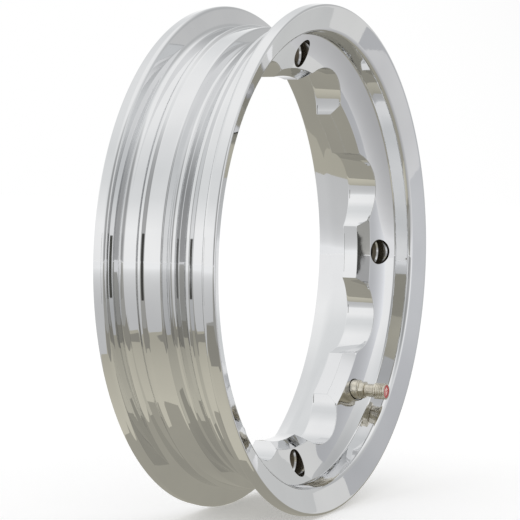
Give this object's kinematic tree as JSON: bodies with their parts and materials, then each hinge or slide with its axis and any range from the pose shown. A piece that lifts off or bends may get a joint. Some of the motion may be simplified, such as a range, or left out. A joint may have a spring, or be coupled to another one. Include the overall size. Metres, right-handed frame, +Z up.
{
  "type": "motor scooter rim",
  "caption": "Chromed one-piece scooter wheel rim with bead flanges, a shallow well, a scalloped stud ring with conical nut seats and a straight metal valve with a red-ended cap.",
  "frame": {"origin": "middle of the rim's bounding box, on the spin axis half way between the two outer edges", "axes": "+Y along the spin axis from the outer face to the hub side, +Z up, the stud holes on the X and Z axes"},
  "size_m": [0.2796, 0.0686, 0.2796],
  "materials": {
    "chrome": "mirror chrome on a machined aluminium casting",
    "valve_metal": "dull nickel on brass",
    "core_metal": "plain turned brass",
    "spring_steel": "drawn wire",
    "seal_rubber": "matt",
    "red_insert": "gloss red"
  },
  "bodies": {
    "wheel_rim": {"rim": "chrome", "valve_stem": "valve_metal", "valve_seal": "seal_rubber", "valve_core": "core_metal", "core_gasket": "seal_rubber", "valve_spring": "spring_steel", "valve_cap": "valve_metal", "cap_gasket": "seal_rubber", "cap_insert": "red_insert"},
    "pin": {"valve_pin": "core_metal", "pin_seal": "seal_rubber"}
  },
  "joints": [
    {"name": "pin_press", "type": "slide", "parent": "wheel_rim", "child": "pin", "axis": [0, 1, 0], "range_m": [0, 0.0015], "stiffness_N_per_m": 800, "springref_m": -0.002, "deforming": ["valve_spring"]}
  ]
}
